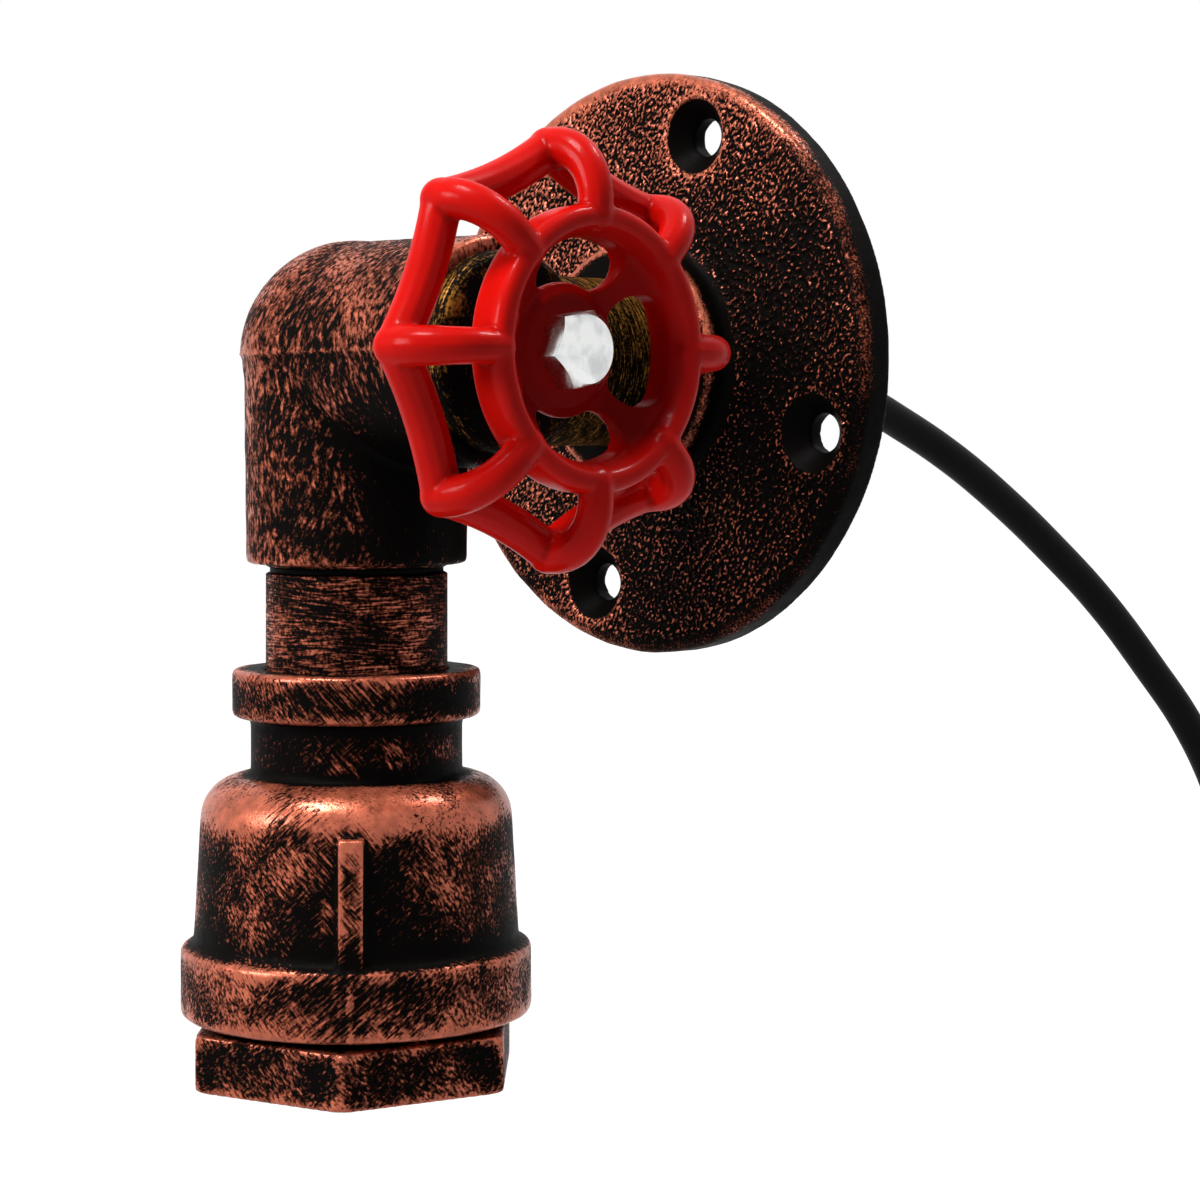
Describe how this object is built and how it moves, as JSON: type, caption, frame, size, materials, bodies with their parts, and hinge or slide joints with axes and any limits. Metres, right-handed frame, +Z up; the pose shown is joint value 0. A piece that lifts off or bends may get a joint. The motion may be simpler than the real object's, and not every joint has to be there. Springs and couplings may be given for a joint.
{
  "type": "pipe wall light",
  "caption": "Wall light of iron pipe fittings: round flange, arm, corner fitting and drop to a bell lampholder, with a valve handwheel that turns the switch.",
  "frame": {"origin": "middle of the wall flange's back face, on the wall, at the centre of its four screw holes", "axes": "+Y into the wall along the arm pipe's axis, +Z up, +X along the handwheel's axis towards its face"},
  "size_m": [0.1002, 0.2368, 0.2352],
  "materials": {
    "dark_iron": "black paint with a copper-red dry brush",
    "arm_iron": "black paint with a brass-brown dry brush",
    "red_enamel": "thick glossy red enamel",
    "zinc": "bright zinc plate",
    "steel": "turned steel",
    "brass": "rolled brass",
    "porcelain": "glazed porcelain",
    "moulding": "brown phenolic moulding",
    "fibre": "red vulcanised fibre",
    "soft_seal": "silicone",
    "black_rubber": "moulded rubber",
    "black_cord": "smooth cable sheath",
    "brown_core": "core insulation",
    "blue_core": "core insulation",
    "earth_core": "green core insulation with a yellow stripe",
    "nylon": "moulded nylon"
  },
  "bodies": {
    "fixture": {"wall_flange": "dark_iron", "arm_nipple": "arm_iron", "corner_elbow": "dark_iron", "drop_nipple": "dark_iron", "bell_socket": "dark_iron", "hex_bushing": "dark_iron", "stem_plug": "arm_iron", "friction_washer": "fibre", "switch_body": "moulding", "switch_screws": "steel", "switch_contacts": "brass", "holder_body": "porcelain", "screw_shell": "brass", "contact_foot": "brass", "holder_rivets": "brass", "holder_terminals": "brass", "terminal_screws": "steel", "holder_gasket": "soft_seal", "earth_ring": "brass", "live_wire": "brown_core", "switched_wire": "brown_core", "neutral_wire": "blue_core", "earth_wire": "earth_core", "cord_bush": "black_rubber", "sheath_stub": "black_cord", "supply_cord": "black_cord", "live_core": "brown_core", "neutral_core": "blue_core", "earth_core": "earth_core", "terminal_block": "nylon", "block_inserts": "brass", "block_screws": "steel"},
    "valve_wheel": {"handwheel": "red_enamel", "wheel_bolt": "zinc", "spindle": "steel", "spindle_clip": "steel", "switch_rotor": "moulding", "rotor_bridge": "brass"},
    "lamp_contact": {"centre_contact": "brass"}
  },
  "joints": [
    {"name": "handwheel_turn", "type": "hinge", "parent": "fixture", "child": "valve_wheel", "pos_m": [0.03, -0.0668, 0], "axis": [1, 0, 0], "continuous": true},
    {"name": "contact_press", "type": "hinge", "parent": "fixture", "child": "lamp_contact", "pos_m": [0.00405, -0.0668, -0.0793], "axis": [0, 1, 0], "range_deg": [0, 12], "stiffness_Nm_per_rad": 0.13}
  ]
}
